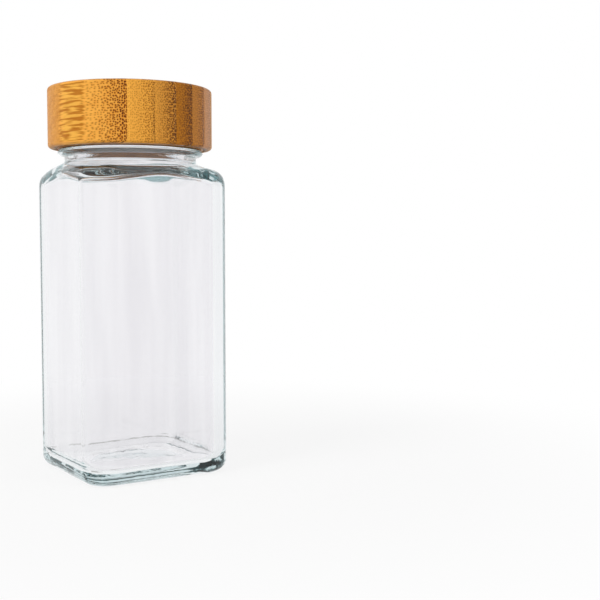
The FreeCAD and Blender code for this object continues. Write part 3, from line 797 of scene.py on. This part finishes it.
def strip_bamboo(number, flesh, shade, fibre, thin, thick, plain_end):
    """Oiled bamboo for one strip: its own tone with painted shade in it, with fibres that crowd towards one
    edge.
    """
    material, tree, shader = start_material(f"bamboo_{number}")
    shader.inputs["Specular IOR Level"].default_value = BAMBOO_GLOSS

    def in_strip(vector, kind):
        """Output of a place or a direction in the strip's own directions."""
        node = add_node(tree, "ShaderNodeMapping", vector_type=kind, vector=vector)
        node.inputs["Rotation"].default_value = (0, 0, -STRIP_ANGLE)
        return node.outputs["Vector"]

    place = add_node(tree, "ShaderNodeTexCoord").outputs
    low = -CAP_RADIUS + STRIP_WIDTH * (number - 1)
    fibres = add_node(
        tree, "ShaderNodeGroup", node_tree=FIBRES, place=in_strip(place["Object"], "POINT"),
        spacing=FIBRE_SPACING, thin=thin, thick=thick, low_edge=low, high_edge=low + STRIP_WIDTH).outputs
    crowding = fibres["Crowding"]
    mottle = ramp(tree, fibres["Streaks"], *MOTTLE_EDGES)
    ripe = rising(tree, crowding, CROWDED_SHADE, math_node(tree, "MULTIPLY", mottle, MOTTLE_SHADE))
    side = mix_colour(tree, ripe, linear(*flesh), linear(*shade))
    pale = tuple(min(255, level * PALE_GAIN + PALE_LIFT) for level in flesh)
    light = math_node(tree, "MULTIPLY", fibres["Lights"], PALE_SHARE)
    side = mix_colour(tree, light, side, linear(*pale))
    far_end = math_node(tree, "MULTIPLY", fibres["Far End"], plain_end)
    plain = mix_colour(tree, mottle, linear(*END_FLESH), linear(*END_SHADE))
    side = mix_colour(tree, far_end, side, plain)
    deep = rising(tree, crowding, CROWDED_DARK, SPARSE_DARK)
    deep = math_node(tree, "MULTIPLY", deep, rest_of(tree, far_end))
    dark = math_node(tree, "MULTIPLY", fibres["Dots"], deep)
    side = mix_colour(tree, dark, side, linear(*fibre))
    facing = parts_of(tree, in_strip(place["Normal"], "NORMAL"))
    frayed = math_node(tree, "MULTIPLY", math_node(tree, "SUBTRACT", fibres["Dashes"], 0.5), DASH_FRAY)
    across = math_node(tree, "ADD", math_node(tree, "ABSOLUTE", facing[1]), frayed)
    dashed = math_node(tree, "MULTIPLY", ramp(tree, across, *DASH_FACING), DASH_SHARE)
    dash = mix_colour(tree, fibres["Dashes"], linear(*DASH_LIGHT), linear(*DASH_DARK))
    side = mix_colour(tree, dashed, side, dash)
    top = mix_colour(tree, mottle, linear(*TOP_FLESH), linear(*TOP_SHADE))
    top = mix_colour(tree, math_node(tree, "MULTIPLY", dark, TOP_DARK), top, linear(*fibre))
    colour = mix_colour(tree, ramp(tree, facing[2], *TOP_FACING), side, top)
    tree.links.new(colour, shader.inputs["Base Color"])
    rough = rising(tree, fibres["Dots"], DOT_ROUGHNESS, FLESH_ROUGHNESS)
    tree.links.new(rough, shader.inputs["Roughness"])
    add_bump(tree, shader, fibres["Dots"], DOT_STRENGTH, DOT_DEPTH, invert=True)
    return material


# Each strip's flesh, its darker streaks and its fibres, how thick its fibres are at its two edges, and how
# plain its far end is. The colours are partly the strips' own tones and partly painted shade, darker on the
# strips towards the camera's right, away from the key lamp
STRIP_TONES_AND_SHADE = [
    ((232, 164, 66), (194, 112, 8), (82, 28, 0), 0.24, 0.39, 0.85),
    ((234, 164, 62), (210, 140, 44), (140, 74, 4), 0.24, 0.33, 0.85),
    ((216, 148, 54), (178, 106, 20), (60, 22, 0), 0.25, 0.42, 0),
    ((182, 112, 16), (138, 74, 0), (52, 20, 0), 0.28, 0.42, 0),
    ((190, 122, 40), (164, 96, 22), (76, 36, 0), 0.28, 0.37, 0),
    ((200, 140, 90), (184, 124, 74), (110, 62, 24), 0.24, 0.34, 0),
    ((206, 144, 66), (190, 126, 50), (110, 56, 8), 0.24, 0.38, 0),
    ((218, 154, 66), (202, 136, 50), (110, 56, 6), 0.24, 0.38, 0),
]


def make_cap():
    """Strips of the cap, each in its own bamboo, whose tones carry painted shade."""
    for number, tones_and_shade in enumerate(STRIP_TONES_AND_SHADE, start=1):
        node = f"bamboo_strip_{number}"
        bamboo = strip_bamboo(number, *tones_and_shade)
        make_piece(f"cap_strip_{number}", smooth_copy(node), bamboo, "cap", node)


# Plastic pieces

# Colour, roughness, and how much light passes through
LINER_PLASTIC = ((226, 150, 70), 0.35, 0)
SEAL_FOAM = ((214, 150, 80), 0.7, 0)
FROSTED_PLASTIC = ((246, 249, 248), 0.4, 0.6)
# Scale and detail of the noise behind the grain and the clouds, and how deep the grain is
GRAIN_NOISE = (2600.0, 2.0)
CLOUD_NOISE = (140.0, 3.0)
GRAIN_STRENGTH = 0.12
GRAIN_DEPTH = 0.03 * MM
# How dark the clouds are, and how much rougher
CLOUD_SHADE = 0.94
CLOUD_ROUGHNESS = 0.12


def moulded_plastic(name, tone, roughness, transmission):
    """Moulded plastic with a fine grain and slight unevenness of gloss."""
    material, tree, shader = start_material(name)
    shader.inputs["Transmission Weight"].default_value = transmission
    place = add_node(tree, "ShaderNodeTexCoord").outputs["Object"]
    cloud = noise(tree, place, *CLOUD_NOISE)["Fac"]
    colour = linear(*tone)
    darker = tuple(level * CLOUD_SHADE for level in colour[:3]) + (1,)
    tree.links.new(mix_colour(tree, cloud, colour, darker), shader.inputs["Base Color"])
    tree.links.new(rising(tree, cloud, CLOUD_ROUGHNESS, roughness), shader.inputs["Roughness"])
    add_bump(tree, shader, noise(tree, place, *GRAIN_NOISE)["Fac"], GRAIN_STRENGTH, GRAIN_DEPTH)
    return material


def liner_mesh(finish):
    """Cup of the liner, with rounded lips, and its thread ridges."""
    lip = LINER_BASE + LINER_LIP
    profile = [(LINER_BORE, LINER_TOP - LINER_PLATE)]
    profile += arc_points((LINER_BORE + LINER_LIP, lip), LINER_LIP, 180, 270, LIP_STEPS)
    profile += arc_points((LINER_RADIUS - LINER_LIP, lip), LINER_LIP, 270, 360, LIP_STEPS)
    profile.append((LINER_RADIUS, LINER_TOP))
    angles = [2 * math.pi * step / LINER_STEPS for step in range(LINER_STEPS)]
    rings = []
    for radius, height in profile:
        rings.append([(radius * math.cos(angle), radius * math.sin(angle), height) for angle in angles])
    cup = closed_shell("liner", rings, (0, 0, LINER_TOP - LINER_PLATE), (0, 0, LINER_TOP))
    cup.set_sharp_from_angle(angle=SHARP_ANGLE)
    root = LINER_BORE + RIDGE_ROOT
    ridges = grown_mesh(
        thread_ridges(), finish, radius=root, depth=root - LINER_CREST, base_width=THREAD_BASE_WIDTH,
        tip_width=THREAD_TIP_WIDTH, lead=THREAD_LEAD, turns=RIDGE_TURNS, starts=THREAD_STARTS,
        height=THREAD_START + THREAD_LEAD / THREAD_STARTS / 2)
    work = bmesh.new()
    work.from_mesh(cup)
    work.from_mesh(ridges)
    work.to_mesh(cup)
    work.free()
    return cup


def make_plastic_pieces():
    """Liner and wad inside the cap, and the shaker and its flap."""
    tan = moulded_plastic("liner_plastic", *LINER_PLASTIC)
    foam = moulded_plastic("seal_foam", *SEAL_FOAM)
    frosted = moulded_plastic("frosted_plastic", *FROSTED_PLASTIC)
    make_piece("liner", liner_mesh(tan), tan, "cap", "lid_liner")
    wad = grown_mesh(
        pressed_disc(), foam, radius=WAD_RADIUS, thickness=WAD_THICKNESS, base=WAD_BASE, rings=WAD_RINGS,
        ring_depth=WAD_RING_DEPTH)
    make_piece("wad", wad, foam, "seal", "lid_seal")
    make_piece("shaker", smooth_copy("shaker_insert"), frosted, "shaker", "shaker_insert")
    make_piece("flap", smooth_copy("shaker_flap"), frosted, "flap", "shaker_flap")


# Stage, light and camera

# Floor: how far it and the shadow on it reach, how far the shadow is full and how white the floor is there,
# and the floor's colour and roughness
FLOOR_REACH = 2.0
SHADOW_REACH = 0.2
SHADOW_CORE = SHADOW_REACH / 3
BACKGROUND_SHARE = 0.85
FLOOR_COLOUR = (0.9, 0.9, 0.9, 1)
FLOOR_ROUGHNESS = 0.9
# Light that the white room gives, where the lamps are aimed, and how often light may be turned back
ROOM_LEVEL = 0.5
LAMP_TARGET = Vector((0, 0, 0.06))
MOST_BOUNCES = 36


def seen_directly(tree):
    """1 for what the camera sees straight, in a gloss or through glass, and 0 for light on things."""
    path = add_node(tree, "ShaderNodeLightPath")
    mirrored = math_node(tree, "MAXIMUM", path.outputs["Is Glossy Ray"], path.outputs["Is Transmission Ray"])
    return math_node(tree, "MAXIMUM", path.outputs["Is Camera Ray"], mirrored)


def make_floor():
    """Floor that is plain white apart from the shadow near the jar."""
    mesh = bpy.data.meshes.new("floor")
    corners = [(x * FLOOR_REACH, y * FLOOR_REACH, 0) for x, y in ((-1, -1), (1, -1), (1, 1), (-1, 1))]
    mesh.from_pydata(corners, [], [(0, 1, 2, 3)])
    floor = add_object("floor", mesh)
    material, tree, shader = start_material("pale_floor")
    shader.inputs["Base Color"].default_value = FLOOR_COLOUR
    shader.inputs["Roughness"].default_value = FLOOR_ROUGHNESS
    shader.inputs["Specular IOR Level"].default_value = 0
    white = add_node(tree, "ShaderNodeEmission", strength=1.0)
    distance = add_node(tree, "ShaderNodeVectorMath", operation="LENGTH")
    tree.links.new(add_node(tree, "ShaderNodeTexCoord").outputs["Object"], distance.inputs[0])
    far = ramp(tree, distance.outputs["Value"], SHADOW_CORE, SHADOW_REACH)
    near_share = math_node(tree, "MULTIPLY", rest_of(tree, far), 1 - BACKGROUND_SHARE)
    share = math_node(tree, "MULTIPLY", seen_directly(tree), rest_of(tree, near_share))
    blend = add_node(tree, "ShaderNodeMixShader")
    for socket, output in zip(blend.inputs, (share, shader.outputs[0], white.outputs[0])):
        tree.links.new(output, socket)
    tree.links.new(blend.outputs[0], tree.nodes["Material Output"].inputs["Surface"])
    mesh.materials.append(material)


def make_world():
    """Room that is white where it is seen, and gives less light than that."""
    world = bpy.data.worlds.new("white_room")
    world.use_nodes = True
    tree = world.node_tree
    backdrop = tree.nodes["Background"]
    backdrop.inputs["Color"].default_value = (1, 1, 1, 1)
    level = add_node(tree, "ShaderNodeMapRange", value=seen_directly(tree), to_min=ROOM_LEVEL)
    tree.links.new(level.outputs["Result"], backdrop.inputs["Strength"])
    bpy.context.scene.world = world


def make_lamp(name, sideways, forward, height, size, power):
    """Soft box aimed at the jar, placed as seen from the camera: to the right, away from it, and up."""
    away = Vector((-math.sin(CAMERA_HEADING), math.cos(CAMERA_HEADING), 0))
    right = Vector((away.y, -away.x, 0))
    lamp = bpy.data.lights.new(name, "AREA")
    lamp.shape = "SQUARE"
    lamp.size = size
    lamp.energy = power
    holder = add_object(name, lamp)
    holder.location = right * sideways + away * forward + Vector((0, 0, height))
    aim = LAMP_TARGET - holder.location
    holder.rotation_euler = aim.to_track_quat("-Z", "Y").to_euler()
    holder.visible_glossy = False
    holder.visible_transmission = False


def make_camera():
    """Camera that sees the jar as the fitted one does."""
    camera = bpy.data.cameras.new("camera")
    camera.lens = CAMERA_LENS
    camera.sensor_width = SENSOR_WIDTH
    camera.clip_start = NEAREST_VIEW
    holder = add_object("camera", camera)
    holder.location = CAMERA_PLACE
    holder.rotation_euler = (math.pi / 2 - CAMERA_TILT, 0, CAMERA_HEADING)
    bpy.context.scene.camera = holder


def set_light_paths():
    """Lets light be reflected often enough inside the thick glass to come out again."""
    paths = bpy.context.scene.cycles
    paths.max_bounces = MOST_BOUNCES
    paths.glossy_bounces = MOST_BOUNCES
    paths.transmission_bounces = MOST_BOUNCES


make_piece("jar_glass", glass_mesh(), clear_glass(), "jar", "glass_jar")
make_cap()
make_plastic_pieces()
make_floor()
make_world()
make_lamp("key", sideways=-0.5, forward=-0.45, height=0.45, size=0.4, power=3.0)
make_lamp("fill", sideways=0.6, forward=-0.3, height=0.3, size=0.5, power=0.8)
make_camera()
set_light_paths()
bpy.context.scene.view_settings.view_transform = "Standard"
